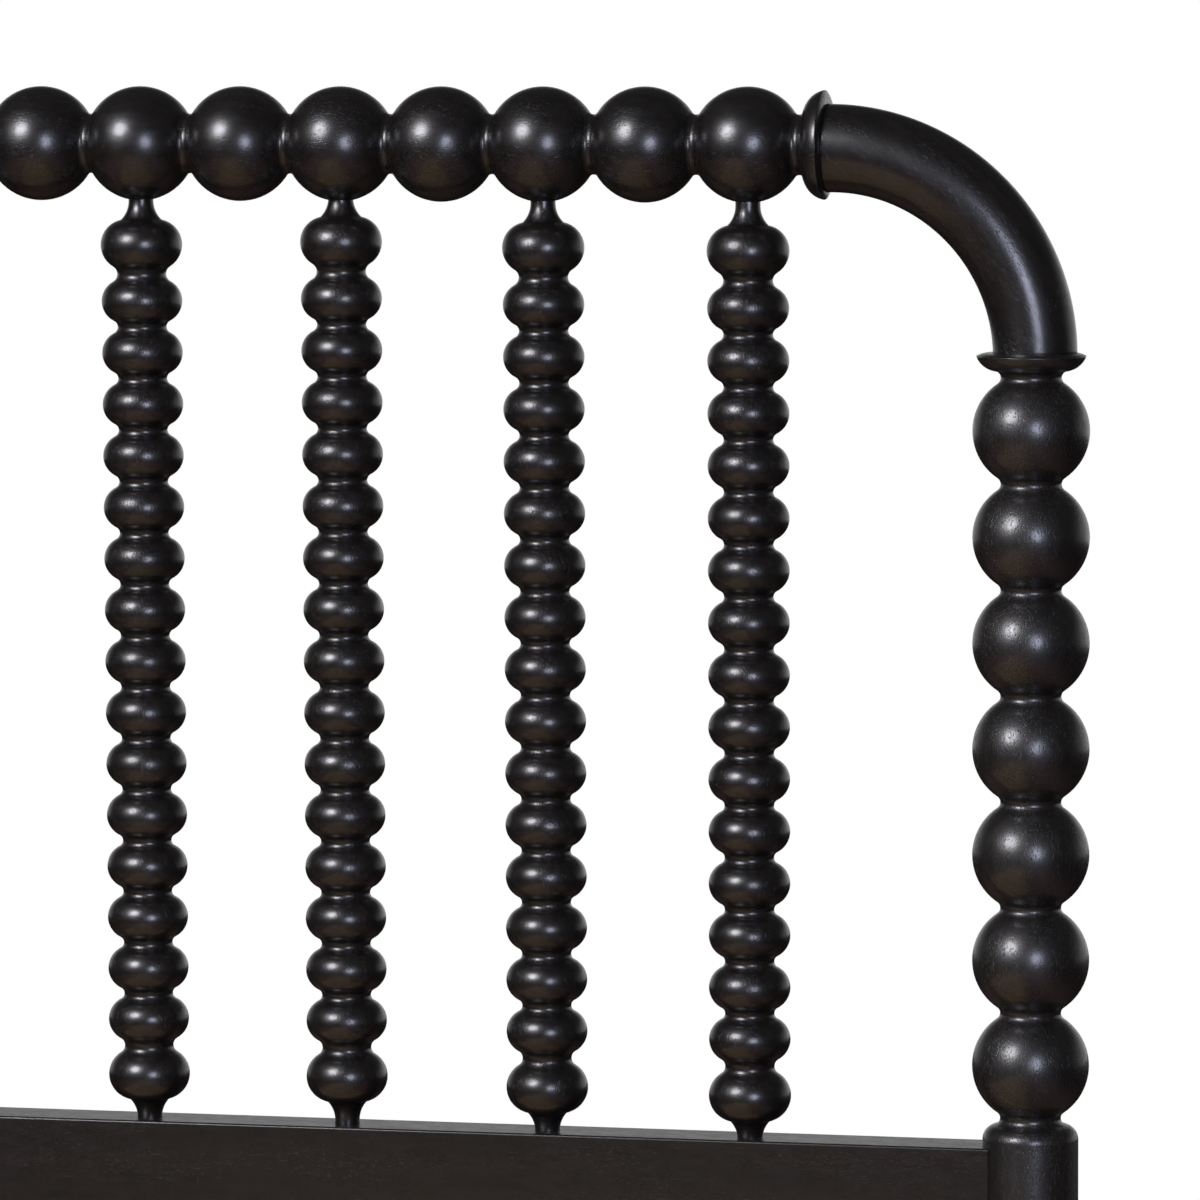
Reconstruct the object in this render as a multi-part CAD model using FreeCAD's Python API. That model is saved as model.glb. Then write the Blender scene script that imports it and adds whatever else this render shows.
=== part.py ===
import FreeCAD, Part

# Twin spindle bed, modelled as it comes apart: a beaded headboard and footboard, two side rails
# and a slatted deck. Sizes are in millimetres. X runs across the bed with the right side at +X,
# Y runs from the foot to the head, and Z runs up. The origin is on the floor, under the middle.

import math
import os
from collections import namedtuple

Vector = FreeCAD.Vector

# ---- Mattress space ----
mattress_width = 965.0
mattress_length = 1905.0
mattress_side_gap = 8.0        # to each side rail
mattress_end_gap = 15.0        # to each end board
underbed_height = 200.0        # floor to the side rails
deck_recess = 85.0             # top of the side rails down to the top of the slats

# ---- End boards ----
headboard_height = 1168.0
spindle_count = 8              # in each end board
headboard_bead_count = 15      # equal beads on a headboard spindle, between its two end beads
footboard_bead_count = 11      # the same on a footboard spindle
board_thickness = 28.6         # the flat rails of both boards
cross_rail_height = 140.0      # the flat rail under the headboard's spindles
tenon_thickness = 12.0
tenon_length = 20.0
tenon_shoulder = 15.0          # rail above and below each tenon

# ---- Top rail turning ----
rail_neck_radius = 14.6
rail_cove = 3.24               # radius of the hollow round each neck
rail_bead_offset = 0.7         # a bead's arc is struck this far off the turning axis

# ---- Post turning ----
post_radius = 23.2             # plain part
post_bead_pitch = 51.3
post_neck_radius = 14.7
post_cove = 3.5
post_bead_offset = 0.75
shoulder_radius = 7.0          # rounding where the plain part meets a neck
shoulder_margin = 1.0          # least plain length above a cross rail
leg_margin = 12.0              # plain length below the side rails
foot_least_height = 60.0       # neck to floor glide
toe_radius = 17.0
toe_chamfer = 1.5

# ---- Collars at the elbows ----
collar_radius = 26.4
collar_cove = 3.1
bowl_radius = 11.3             # arc of a collar's rounded underside
rail_bowl_depth = 9.2
post_bowl_depth = 7.05
rim_edge = 0.5                 # thickness of a collar's rim
socket_depth = 1.95            # how deep an elbow is let into its collar

# ---- Elbows ----
elbow_radius = 101.2           # from the axis of each turning to the elbow's seat on the other
elbow_drop = 1.5               # the elbow sits this far below the rail's axis
elbow_outset = 1.9             # and this far outboard of the post's axis
elbow_rail_end_radius = 21.3
elbow_post_end_radius = 20.3
elbow_sections = 9
elbow_dowel_radius = 6.0
elbow_dowel_length = 50.0

# ---- Spindle turning ----
spindle_bead_pitch = 25.5
spindle_neck_radius = 12.04
spindle_cove = 3.3
spindle_bead_offset = 8.9
end_bead_radius = 20.1
end_bead_arc = 12.6
end_bead_cove = 4.3
end_bead_rise = 21.7           # rail face to the middle of an end bead
crease_radius = 10.0           # where an end bead runs into its flared stem
peg_radius = 6.1
peg_length = 20.0
peg_chamfer = 1.0
peg_end_room = 3.0             # bored past the end of a peg
spindle_seats = (-1.4, -0.4, 1.9, 0.0)   # heights above nominal, from the outermost spindle inwards

# ---- Side rails, cleats and slats ----
side_rail_height = 150.0
side_rail_thickness = 19.0
side_rail_offset = 5.0         # middle of a side rail, outboard of the post axis
cleat_width = 22.0
cleat_height = 30.0
cleat_end_gap = 5.0            # to each post
slat_count = 14
slat_width = 70.0
slat_thickness = 18.0
slat_end_gap = 2.0             # to each side rail
first_slat_inset = 60.0        # end board to the middle of the nearest slat

# ---- Edges and fits ----
board_edge = 1.2               # rounding along the flat rails
side_rail_edge = 1.5
slat_edge = 2.0
cope_gap = 0.15                # coped rail end to post
peg_gap = 0.2
tenon_gap = 0.15
dowel_gap = 0.1
screw_gap = 0.1
socket_gap = 0.2
bore_end_room = 1.0            # bored past the end of a dowel, bolt or tenon

# ---- Bed bolts, barrel nuts and locating dowels ----
bolt_radius = 4.0
bolt_length = 90.0
bolt_head_radius = 8.0
bolt_head_height = 4.5
bolt_head_chamfer = 0.6
bolt_seat = 10.0               # depth of the head's seat below the post's face
bolt_spread = 80.0             # between the two bolts of a corner
key_width = 5.0                # across the flats of the bolt's socket
key_depth = 3.0
head_gap = 0.6
nut_radius = 6.0
nut_length = 15.0
nut_inset = 45.0               # post face to the middle of the nut
nut_slot_width = 1.5
nut_slot_depth = 1.5
locating_dowel_radius = 5.0
locating_dowel_length = 40.0
locating_dowel_in_post = 18.0

# ---- Screws and glides ----
screw_radius = 2.1
screw_head_radius = 4.0
screw_tip_length = 5.0
screw_drive_width = 2.6
screw_drive_depth = 1.8
slat_screw_length = 38.0
cleat_screw_length = 35.0
gap_count_per_cleat_screw = 2  # gaps between slats
glide_radius = 13.0
glide_thickness = 5.0
glide_chamfer = 1.0
glide_nail_radius = 1.5
glide_nail_length = 14.0

# ---- Worked out from the sizes above ----
Neck = namedtuple("Neck", "radius height cove")
FlatRail = namedtuple("FlatRail", "name top height")
Board = namedtuple("Board", "name top_axis cross_top beads flat_rails")


def rise(neck_radius, cove, offset, arc_radius):
    """Height from a neck's waist to the centre of a round that runs smoothly into its cove."""
    across = neck_radius + cove - offset
    return math.sqrt((arc_radius + cove) ** 2 - across ** 2)


def bead_arc(pitch, neck_radius, cove, offset):
    """Arc radius of the bead that runs smoothly into the coves of its two necks."""
    return math.hypot(neck_radius + cove - offset, pitch / 2) - cove


def bowl_offset(bowl_depth):
    """Radius at which the arc of a collar's bowl is struck, so that it ends at the rim."""
    return collar_radius - math.sqrt(bowl_radius ** 2 - (bowl_radius - bowl_depth) ** 2)


def collar_length(neck_radius, bowl_depth):
    """Length from a neck's waist to the seat of the elbow, level with the collar's rim."""
    to_centre = rise(neck_radius, collar_cove, bowl_offset(bowl_depth), bowl_radius)
    return to_centre - (bowl_radius - bowl_depth)


side_rail_inner_x = mattress_width / 2 + mattress_side_gap
side_rail_outer_x = side_rail_inner_x + side_rail_thickness
post_x = side_rail_inner_x + side_rail_thickness / 2 - side_rail_offset
board_inner_y = mattress_length / 2 + mattress_end_gap
post_y = board_inner_y + board_thickness / 2
side_rail_top = underbed_height + side_rail_height
deck_top = side_rail_top - deck_recess
cleat_top = deck_top - slat_thickness

bend_radius = elbow_radius - elbow_drop
bend_x = post_x + elbow_outset - bend_radius
rail_seat_x = post_x - elbow_radius
rail_end_neck_x = rail_seat_x - collar_length(rail_neck_radius, rail_bowl_depth)
rail_bead_count = 2 * spindle_count - 1
rail_bead_pitch = 2 * rail_end_neck_x / rail_bead_count
spindle_pitch = 2 * rail_bead_pitch
rail_bead_arc = bead_arc(rail_bead_pitch, rail_neck_radius, rail_cove, rail_bead_offset)
rail_bead_radius = rail_bead_arc + rail_bead_offset

post_bead_arc = bead_arc(post_bead_pitch, post_neck_radius, post_cove, post_bead_offset)
shoulder_height = rise(post_neck_radius, post_cove, post_radius - shoulder_radius, shoulder_radius)

spindle_bead_arc = bead_arc(spindle_bead_pitch, spindle_neck_radius, spindle_cove, spindle_bead_offset)
end_bead_offset = end_bead_radius - end_bead_arc
last_bead_to_neck = rise(spindle_neck_radius, end_bead_cove, spindle_bead_offset, spindle_bead_arc)
neck_to_end_bead = rise(spindle_neck_radius, end_bead_cove, end_bead_offset, end_bead_arc)
spindle_end_length = end_bead_rise + neck_to_end_bead + last_bead_to_neck

slat_length = 2 * (side_rail_inner_x - slat_end_gap)
slat_pitch = 2 * (board_inner_y - first_slat_inset) / (slat_count - 1)
slat_ys = [first_slat_inset - board_inner_y + index * slat_pitch for index in range(slat_count)]
cleat_length = 2 * (post_y - post_radius - cleat_end_gap)
screw_head_height = screw_head_radius - screw_radius
slat_screw_x = side_rail_inner_x - cleat_width / 2
cleat_screw_ys = [y + slat_pitch / 2 for y in slat_ys[:-1:gap_count_per_cleat_screw]]
cleat_screw_z = cleat_top - cleat_height / 2

bolt_x = side_rail_inner_x + side_rail_thickness / 2
bolt_zs = [underbed_height + side_rail_height / 2 + side * bolt_spread / 2 for side in (-1, 1)]
dowel_z = underbed_height + side_rail_height / 2
post_face_y = post_y - post_radius
bolt_seat_y = post_y + post_radius - bolt_seat


def spindle_span(beads):
    """Length of a spindle between the two rails that hold it."""
    return 2 * spindle_end_length + (beads - 1) * spindle_bead_pitch


head_axis = headboard_height - rail_bead_radius
head_cross_top = head_axis - rail_bead_radius - spindle_span(headboard_bead_count)
foot_axis = side_rail_top + spindle_span(footboard_bead_count) + rail_bead_radius

headboard = Board("headboard", head_axis, head_cross_top, headboard_bead_count,
                  (FlatRail("cross_rail", head_cross_top, cross_rail_height),
                   FlatRail("lower_rail", side_rail_top, side_rail_height)))
footboard = Board("footboard", foot_axis, side_rail_top, footboard_bead_count,
                  (FlatRail("cross_rail", side_rail_top, side_rail_height),))


# ---- Turning: outlines are drawn as radius and height, and turned about the Z axis ----
def at(radius, height):
    """A point of an outline."""
    return Vector(radius, 0, height)


def line(start, end):
    return Part.LineSegment(start, end).toShape()


def path(*points):
    """Straight edges through the points in turn."""
    return [line(start, end) for start, end in zip(points, points[1:])]


def arc(centre, start, end):
    """The shorter arc about centre from start to end."""
    middle = (start - centre) + (end - centre)
    middle.normalize()
    return Part.Arc(start, centre + middle * (start - centre).Length, end).toShape()


def meeting_point(neck, centre, arc_radius):
    """Where the cove of a neck runs smoothly into a round struck about centre."""
    cove_centre = at(neck.radius + neck.cove, neck.height)
    return cove_centre + (centre - cove_centre) * (neck.cove / (neck.cove + arc_radius))


def cove_edge(neck, centre, arc_radius):
    """The cove from a neck's waist to the round struck about centre."""
    waist = at(neck.radius, neck.height)
    return arc(at(neck.radius + neck.cove, neck.height), waist, meeting_point(neck, centre, arc_radius))


def bead(above, below, centre, arc_radius):
    """A bead with its two coves, from the waist above it to the waist below it."""
    top = meeting_point(above, centre, arc_radius)
    bottom = meeting_point(below, centre, arc_radius)
    return [cove_edge(above, centre, arc_radius),
            arc(centre, top, bottom),
            cove_edge(below, centre, arc_radius)]


def bead_row(top, count, pitch, neck_radius, cove, offset, arc_radius):
    """Equal beads down from the neck at height top."""
    edges = []
    for index in range(count):
        above = Neck(neck_radius, top - index * pitch, cove)
        below = Neck(neck_radius, above.height - pitch, cove)
        centre = at(offset, above.height - pitch / 2)
        edges += bead(above, below, centre, arc_radius)
    return edges


def collar(neck_radius, neck_height, bowl_depth, crown_radius, up):
    """A flared collar from a neck's waist to the middle of its domed end; up is 1 or -1."""
    neck = Neck(neck_radius, neck_height, collar_cove)
    offset = bowl_offset(bowl_depth)
    centre = at(offset, neck_height + up * rise(neck_radius, collar_cove, offset, bowl_radius))
    seat = neck_height + up * collar_length(neck_radius, bowl_depth)
    rim = at(collar_radius, seat)
    rim_top = at(collar_radius, seat + up * rim_edge)
    crown = at(crown_radius, seat + up * socket_depth)
    crown_drop = socket_depth - rim_edge
    crown_arc = ((collar_radius - crown_radius) ** 2 + crown_drop ** 2) / (2 * crown_drop)
    crown_centre = at(crown_radius, crown.z - up * crown_arc)
    edges = [cove_edge(neck, centre, bowl_radius)]
    edges.append(arc(centre, meeting_point(neck, centre, bowl_radius), rim))
    edges.append(line(rim, rim_top))
    edges.append(arc(crown_centre, rim_top, crown))
    return edges + path(crown, at(0, crown.z))


def shoulder(neck_height, up):
    """The cove and rounded shoulder from a post's neck to its plain part; up is 1 or -1."""
    neck = Neck(post_neck_radius, neck_height, post_cove)
    centre = at(post_radius - shoulder_radius, neck_height + up * shoulder_height)
    top = meeting_point(neck, centre, shoulder_radius)
    return [cove_edge(neck, centre, shoulder_radius), arc(centre, top, at(post_radius, centre.z))]


def turn(edges, top, bottom):
    """The solid turned from an outline that meets the axis at heights top and bottom."""
    outline = Part.Wire(Part.__sortEdges__(edges + [line(at(0, bottom), at(0, top))]))
    solid = Part.Face(outline).revolve(Vector(), Vector(0, 0, 1), 360)
    if solid.Volume < 0:
        solid.reverse()
    return solid


# ---- Plain shapes ----
def block(x, y, z):
    """A box from three (low, high) pairs."""
    size = [high - low for low, high in (x, y, z)]
    return Part.makeBox(size[0], size[1], size[2], Vector(x[0], y[0], z[0]))


def eased(box, along, radius):
    """A box with its edges along one axis rounded."""
    edges = [edge for edge in box.Edges if abs(edge.tangentAt(edge.FirstParameter).dot(along)) > 0.99]
    return box.makeFillet(radius, edges)


def rod(radius, start, along, length):
    return Part.makeCylinder(radius, length, start, along)


def mirrored(shape, across_x, across_y):
    """The shape's twin on the left side, at the foot, or both."""
    if across_x:
        shape = shape.mirror(Vector(), Vector(1, 0, 0))
    if across_y:
        shape = shape.mirror(Vector(), Vector(0, 1, 0))
    return shape


def at_corners(shape):
    """Copies of a shape of the right head corner, at all four corners."""
    return [mirrored(shape, left, foot) for left in (False, True) for foot in (False, True)]


# ---- End boards: every piece is drawn for the head end, with the board's middle plane at post_y ----
def spindle_xs():
    """Spindle axes from left to right."""
    return [(index - (spindle_count - 1) / 2) * spindle_pitch for index in range(spindle_count)]


def spindle_seat(index):
    """Height of a spindle above nominal; both halves of a board repeat the same heights."""
    from_end = min(index, spindle_count - 1 - index)
    return spindle_seats[from_end % len(spindle_seats)]


def make_top_rail(board):
    """One turning: beads with a collar at each end, bored for the spindles, elbows and dowels."""
    edges = bead_row(rail_end_neck_x, rail_bead_count, rail_bead_pitch,
                     rail_neck_radius, rail_cove, rail_bead_offset, rail_bead_arc)
    for up in (-1, 1):
        edges += collar(rail_neck_radius, up * rail_end_neck_x, rail_bowl_depth, elbow_rail_end_radius, up)
    half_length = rail_seat_x + socket_depth
    rail = turn(edges, half_length, -half_length)
    rail.rotate(Vector(), Vector(0, 1, 0), 90)
    rail.translate(Vector(0, post_y, board.top_axis))
    bores = []
    for x in spindle_xs():
        start = Vector(x, post_y, board.top_axis - rail_bead_radius - peg_end_room)
        bores.append(rod(peg_radius + peg_gap, start, Vector(0, 0, 1), peg_length + 2 * peg_end_room))
    for side in (-1, 1):
        seat = Vector(side * rail_seat_x, post_y, board.top_axis)
        socket_start = seat - Vector(0, 0, elbow_drop)
        socket_radius = elbow_rail_end_radius + socket_gap
        bores.append(rod(socket_radius, socket_start, Vector(side, 0, 0), 2 * socket_depth))
        depth = elbow_dowel_length / 2 + bore_end_room
        bores.append(rod(elbow_dowel_radius + dowel_gap, seat, Vector(-side, 0, 0), depth))
    return rail.cut(bores)


def make_elbow(board):
    """The plain bent corner piece on the right: short and straight at the rail, then bent down to the
    post, where it is a little thinner."""
    bend_centre = Vector(bend_x, post_y, board.top_axis - elbow_radius)
    sections = []
    for index in range(elbow_sections):
        share = index / (elbow_sections - 1)
        angle = math.radians(90 * share)
        out = Vector(math.sin(angle), 0, math.cos(angle))
        centre = bend_centre + out * bend_radius
        radius = elbow_rail_end_radius + (elbow_post_end_radius - elbow_rail_end_radius) * share
        along = Vector(math.cos(angle), 0, -math.sin(angle))
        sections.append(Part.Wire(Part.Circle(centre, along, radius).toShape()))
    straight_start = Vector(rail_seat_x, post_y, board.top_axis - elbow_drop)
    straight = rod(elbow_rail_end_radius, straight_start, Vector(1, 0, 0), bend_x - rail_seat_x)
    elbow = Part.makeLoft(sections, True).fuse(straight)
    depth = elbow_dowel_length / 2 + bore_end_room
    radius = elbow_dowel_radius + dowel_gap
    rail_end = Vector(rail_seat_x, post_y, board.top_axis)
    post_end = Vector(post_x, post_y, board.top_axis - elbow_radius)
    bores = [rod(radius, rail_end, Vector(1, 0, 0), depth), rod(radius, post_end, Vector(0, 0, 1), depth)]
    return elbow.cut(bores)


def make_elbow_dowels(board):
    """The two dowels of the right elbow, half in the elbow and half in each collar."""
    half = elbow_dowel_length / 2
    in_rail = Vector(rail_seat_x - half, post_y, board.top_axis)
    in_post = Vector(post_x, post_y, board.top_axis - elbow_radius - half)
    return [rod(elbow_dowel_radius, in_rail, Vector(1, 0, 0), elbow_dowel_length),
            rod(elbow_dowel_radius, in_post, Vector(0, 0, 1), elbow_dowel_length)]


def turn_post(board):
    """The bare turning of a post: collar, beads, plain part, beaded leg and tapered foot."""
    seat = board.top_axis - elbow_radius
    top_neck = seat - collar_length(post_neck_radius, post_bowl_depth)
    room = top_neck - shoulder_height - shoulder_margin - board.cross_top
    beads = int(room // post_bead_pitch)
    last_neck = top_neck - beads * post_bead_pitch
    leg_neck = underbed_height - leg_margin - shoulder_height
    leg_beads = int((leg_neck - foot_least_height - glide_thickness) // post_bead_pitch)
    foot_neck = leg_neck - leg_beads * post_bead_pitch
    edges = collar(post_neck_radius, top_neck, post_bowl_depth, elbow_post_end_radius, 1)
    for row_top, count in ((top_neck, beads), (leg_neck, leg_beads)):
        edges += bead_row(row_top, count, post_bead_pitch,
                          post_neck_radius, post_cove, post_bead_offset, post_bead_arc)
    edges += shoulder(last_neck, -1) + shoulder(leg_neck, 1) + shoulder(foot_neck, -1)
    edges += path(at(post_radius, last_neck - shoulder_height),
                  at(post_radius, leg_neck + shoulder_height))
    edges += path(at(post_radius, foot_neck - shoulder_height),
                  at(toe_radius, glide_thickness + toe_chamfer),
                  at(toe_radius - toe_chamfer, glide_thickness),
                  at(0, glide_thickness))
    return turn(edges, seat + socket_depth, glide_thickness)


def make_post(board):
    """The right post: its turning with mortises, bolt holes, the elbow's socket, dowel holes and the
    glide's nail hole."""
    post = turn_post(board)
    post.translate(Vector(post_x, post_y, 0))
    cuts = [tenon(rail, tenon_gap, bore_end_room) for rail in board.flat_rails]
    for z in bolt_zs:
        through = Vector(bolt_x, post_face_y - post_radius, z)
        cuts.append(rod(bolt_radius + screw_gap, through, Vector(0, 1, 0), 4 * post_radius))
        head_seat = Vector(bolt_x, bolt_seat_y, z)
        cuts.append(rod(bolt_head_radius + head_gap, head_seat, Vector(0, 1, 0), post_radius))
    in_post = locating_dowel_in_post + bore_end_room
    dowel_start = Vector(bolt_x, post_face_y + in_post, dowel_z)
    cuts.append(rod(locating_dowel_radius + dowel_gap, dowel_start, Vector(0, -1, 0), in_post))
    seat = Vector(post_x, post_y, board.top_axis - elbow_radius)
    socket_start = seat + Vector(elbow_outset, 0, 0)
    cuts.append(rod(elbow_post_end_radius + socket_gap, socket_start, Vector(0, 0, 1), 2 * socket_depth))
    depth = elbow_dowel_length / 2 + bore_end_room
    cuts.append(rod(elbow_dowel_radius + dowel_gap, seat, Vector(0, 0, -1), depth))
    toe = Vector(post_x, post_y, glide_thickness)
    cuts.append(rod(glide_nail_radius + screw_gap, toe, Vector(0, 0, 1), glide_nail_length + bore_end_room))
    return post.cut(cuts)


def tenon(rail, gap, end_room):
    """The right tenon of a flat rail, or its mortise when given a gap and room at the end."""
    end = post_x - post_radius + tenon_length + end_room
    half = tenon_thickness / 2 + gap
    low = rail.top - rail.height + tenon_shoulder - gap
    high = rail.top - tenon_shoulder + gap
    return block((post_x - 2 * post_radius, end), (post_y - half, post_y + half), (low, high))


def make_flat_rail(board, rail):
    """A flat rail coped to the round posts, with a tenon at each end."""
    reach = post_radius + cope_gap
    half_length = post_x - math.sqrt(reach ** 2 - (board_thickness / 2) ** 2)
    body = block((-half_length, half_length), (board_inner_y, board_inner_y + board_thickness),
                 (rail.top - rail.height, rail.top))
    body = eased(body, Vector(1, 0, 0), board_edge)
    low = Vector(post_x, post_y, rail.top - rail.height)
    cope = rod(reach, low, Vector(0, 0, 1), rail.height)
    right_tenon = tenon(rail, 0, 0)
    body = body.cut([cope, mirrored(cope, True, False)])
    body = body.fuse([right_tenon, mirrored(right_tenon, True, False)]).removeSplitter()
    if rail.name == "cross_rail":
        depth = peg_length + peg_end_room
        tops = [Vector(x, post_y, rail.top) for x in spindle_xs()]
        body = body.cut([rod(peg_radius + peg_gap, top, Vector(0, 0, -1), depth) for top in tops])
    return body


def spindle_end(outer_neck, up):
    """From the waist beside an end bead, over the bead and its stem to the end of the peg."""
    neck = Neck(spindle_neck_radius, outer_neck, end_bead_cove)
    centre = at(end_bead_offset, outer_neck + up * neck_to_end_bead)
    rail_face = centre.z + up * end_bead_rise
    crease_drop = math.sqrt(end_bead_arc ** 2 - (crease_radius - end_bead_offset) ** 2)
    crease = at(crease_radius, centre.z + up * crease_drop)
    flare_width = crease_radius - peg_radius
    flare_length = end_bead_rise - crease_drop
    flare_arc = (flare_length ** 2 + flare_width ** 2) / (2 * flare_width)
    edges = [cove_edge(neck, centre, end_bead_arc)]
    edges.append(arc(centre, meeting_point(neck, centre, end_bead_arc), crease))
    edges.append(arc(at(peg_radius + flare_arc, rail_face), crease, at(peg_radius, rail_face)))
    peg_end = rail_face + up * peg_length
    return edges + path(at(peg_radius, rail_face), at(peg_radius, peg_end - up * peg_chamfer),
                        at(peg_radius - peg_chamfer, peg_end), at(0, peg_end))


def turn_spindle(beads):
    """A bobbin spindle standing on the height 0: equal beads between two end beads and pegs."""
    edges = []
    last = beads - 1
    outer_necks = {}
    for index in range(beads):
        height = spindle_end_length + index * spindle_bead_pitch
        below = Neck(spindle_neck_radius, height - spindle_bead_pitch / 2, spindle_cove)
        above = Neck(spindle_neck_radius, height + spindle_bead_pitch / 2, spindle_cove)
        if index == 0:
            below = Neck(spindle_neck_radius, height - last_bead_to_neck, end_bead_cove)
            outer_necks[-1] = below.height
        if index == last:
            above = Neck(spindle_neck_radius, height + last_bead_to_neck, end_bead_cove)
            outer_necks[1] = above.height
        edges += bead(above, below, at(spindle_bead_offset, height), spindle_bead_arc)
    for up, height in outer_necks.items():
        edges += spindle_end(height, up)
    return turn(edges, spindle_span(beads) + peg_length, -peg_length)


def make_board(board):
    """Every piece of one end board by name, with its dowels as a list."""
    at_foot = board is footboard
    pieces = {"top_rail": make_top_rail(board)}
    for rail in board.flat_rails:
        pieces[rail.name] = make_flat_rail(board, rail)
    elbow = make_elbow(board)
    post = make_post(board)
    dowels = make_elbow_dowels(board)
    for side, is_left in (("left", True), ("right", False)):
        pieces[side + "_elbow"] = mirrored(elbow, is_left, False)
        pieces[side + "_post"] = mirrored(post, is_left, False)
    pieces["elbow_dowels"] = Part.makeCompound(dowels + [mirrored(dowel, True, False) for dowel in dowels])
    spindle = turn_spindle(board.beads)
    for index, x in enumerate(spindle_xs()):
        place = Vector(x, post_y, board.cross_top + spindle_seat(index))
        pieces["spindle_%d" % (index + 1)] = spindle.translated(place)
    return {board.name + "_" + name: mirrored(piece, False, at_foot) for name, piece in pieces.items()}


# ---- Side rails and their fasteners ----
def make_side_rail():
    """The right side rail: ends coped to the posts, bored for bolts, nuts, dowels and cleat screws."""
    reach = post_radius + cope_gap
    outer_edge = side_rail_outer_x - post_x
    half_length = post_y - math.sqrt(reach ** 2 - outer_edge ** 2)
    rail = block((side_rail_inner_x, side_rail_outer_x), (-half_length, half_length),
                 (underbed_height, side_rail_top))
    rail = eased(rail, Vector(0, 1, 0), side_rail_edge)
    cuts = [rod(reach, Vector(post_x, post_y, underbed_height), Vector(0, 0, 1), side_rail_height)]
    nut_y = post_face_y - nut_inset
    bolt_end_y = bolt_seat_y - bolt_length - bore_end_room
    for z in bolt_zs:
        bolt_end = Vector(bolt_x, bolt_end_y, z)
        cuts.append(rod(bolt_radius + screw_gap, bolt_end, Vector(0, 1, 0), bolt_length))
        nut_start = Vector(side_rail_inner_x, nut_y, z)
        cuts.append(rod(nut_radius + dowel_gap, nut_start, Vector(1, 0, 0), nut_length + bore_end_room))
    dowel_depth = locating_dowel_length - locating_dowel_in_post + bore_end_room
    dowel_start = Vector(bolt_x, post_face_y - dowel_depth, dowel_z)
    cuts.append(rod(locating_dowel_radius + dowel_gap, dowel_start, Vector(0, 1, 0), 2 * dowel_depth))
    cuts += [mirrored(cut, False, True) for cut in cuts]
    screw_depth = cleat_screw_length - cleat_width + bore_end_room
    for y in cleat_screw_ys:
        start = Vector(side_rail_inner_x, y, cleat_screw_z)
        cuts.append(rod(screw_radius + screw_gap, start, Vector(1, 0, 0), screw_depth))
    return rail.cut(cuts)


def make_bolt():
    """A bed bolt along Y at the height 0, its low round head seated in the right head post."""
    seat = bolt_length
    head = seat + bolt_head_height
    inner = bolt_radius - bolt_head_chamfer
    edges = path(at(0, 0), at(inner, 0), at(bolt_radius, bolt_head_chamfer), at(bolt_radius, seat),
                 at(bolt_head_radius, seat), at(bolt_head_radius, head - bolt_head_chamfer),
                 at(bolt_head_radius - bolt_head_chamfer, head), at(0, head))
    bolt = turn(edges, head, 0)
    corner = key_width / math.sqrt(3)
    corners = [Vector(corner, 0, head - key_depth)]
    for index in range(1, 7):
        angle = math.radians(60 * index)
        corners.append(Vector(corner * math.cos(angle), corner * math.sin(angle), head - key_depth))
    socket = Part.Face(Part.makePolygon(corners)).extrude(Vector(0, 0, 2 * key_depth))
    bolt = bolt.cut(socket)
    bolt.rotate(Vector(), Vector(1, 0, 0), -90)
    return bolt.translated(Vector(bolt_x, bolt_seat_y - bolt_length, 0))


def make_barrel_nut():
    """A barrel nut lying across the right side rail, with its cross hole and a slot to turn it by."""
    nut_y = post_face_y - nut_inset
    nut = rod(nut_radius, Vector(side_rail_inner_x, nut_y, 0), Vector(1, 0, 0), nut_length)
    hole_start = Vector(bolt_x, nut_y - nut_radius, 0)
    cross_hole = rod(bolt_radius + screw_gap, hole_start, Vector(0, 1, 0), 2 * nut_radius)
    half = nut_slot_width / 2
    slot = block((side_rail_inner_x, side_rail_inner_x + nut_slot_depth),
                 (nut_y - nut_radius, nut_y + nut_radius),
                 (-half, half))
    return nut.cut([cross_hole, slot])


def make_locating_dowel():
    start = Vector(bolt_x, post_face_y + locating_dowel_in_post, dowel_z)
    return rod(locating_dowel_radius, start, Vector(0, -1, 0), locating_dowel_length)


def make_glide():
    """A floor glide under the right head post: a chamfered disc on a nail."""
    edges = path(at(0, 0), at(glide_radius - glide_chamfer, 0), at(glide_radius, glide_chamfer),
                 at(glide_radius, glide_thickness), at(glide_nail_radius, glide_thickness),
                 at(glide_nail_radius, glide_thickness + glide_nail_length),
                 at(0, glide_thickness + glide_nail_length))
    return turn(edges, glide_thickness + glide_nail_length, 0).translated(Vector(post_x, post_y, 0))


# ---- Deck ----
def turn_screw(length, gap):
    """A countersunk screw hanging from height 0, or the hole for it when given a gap."""
    shank = screw_radius + gap
    head = screw_head_radius + gap
    edges = path(at(0, 0), at(head, 0), at(shank, -screw_head_height),
                 at(shank, screw_tip_length - length), at(0, -length))
    screw = turn(edges, 0, -length)
    if gap:
        return screw
    half = screw_drive_width / 2
    return screw.cut(block((-half, half), (-half, half), (-screw_drive_depth, 0)))


def slat_screw_places():
    return [Vector(side * slat_screw_x, y, deck_top) for side in (-1, 1) for y in slat_ys]


def cleat_screw_at(screw, y):
    """A screw of the right cleat, driven outwards from the cleat's inner face."""
    turned = screw.copy()
    turned.rotate(Vector(), Vector(0, 1, 0), -90)
    return turned.translated(Vector(side_rail_inner_x - cleat_width, y, cleat_screw_z))


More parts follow.
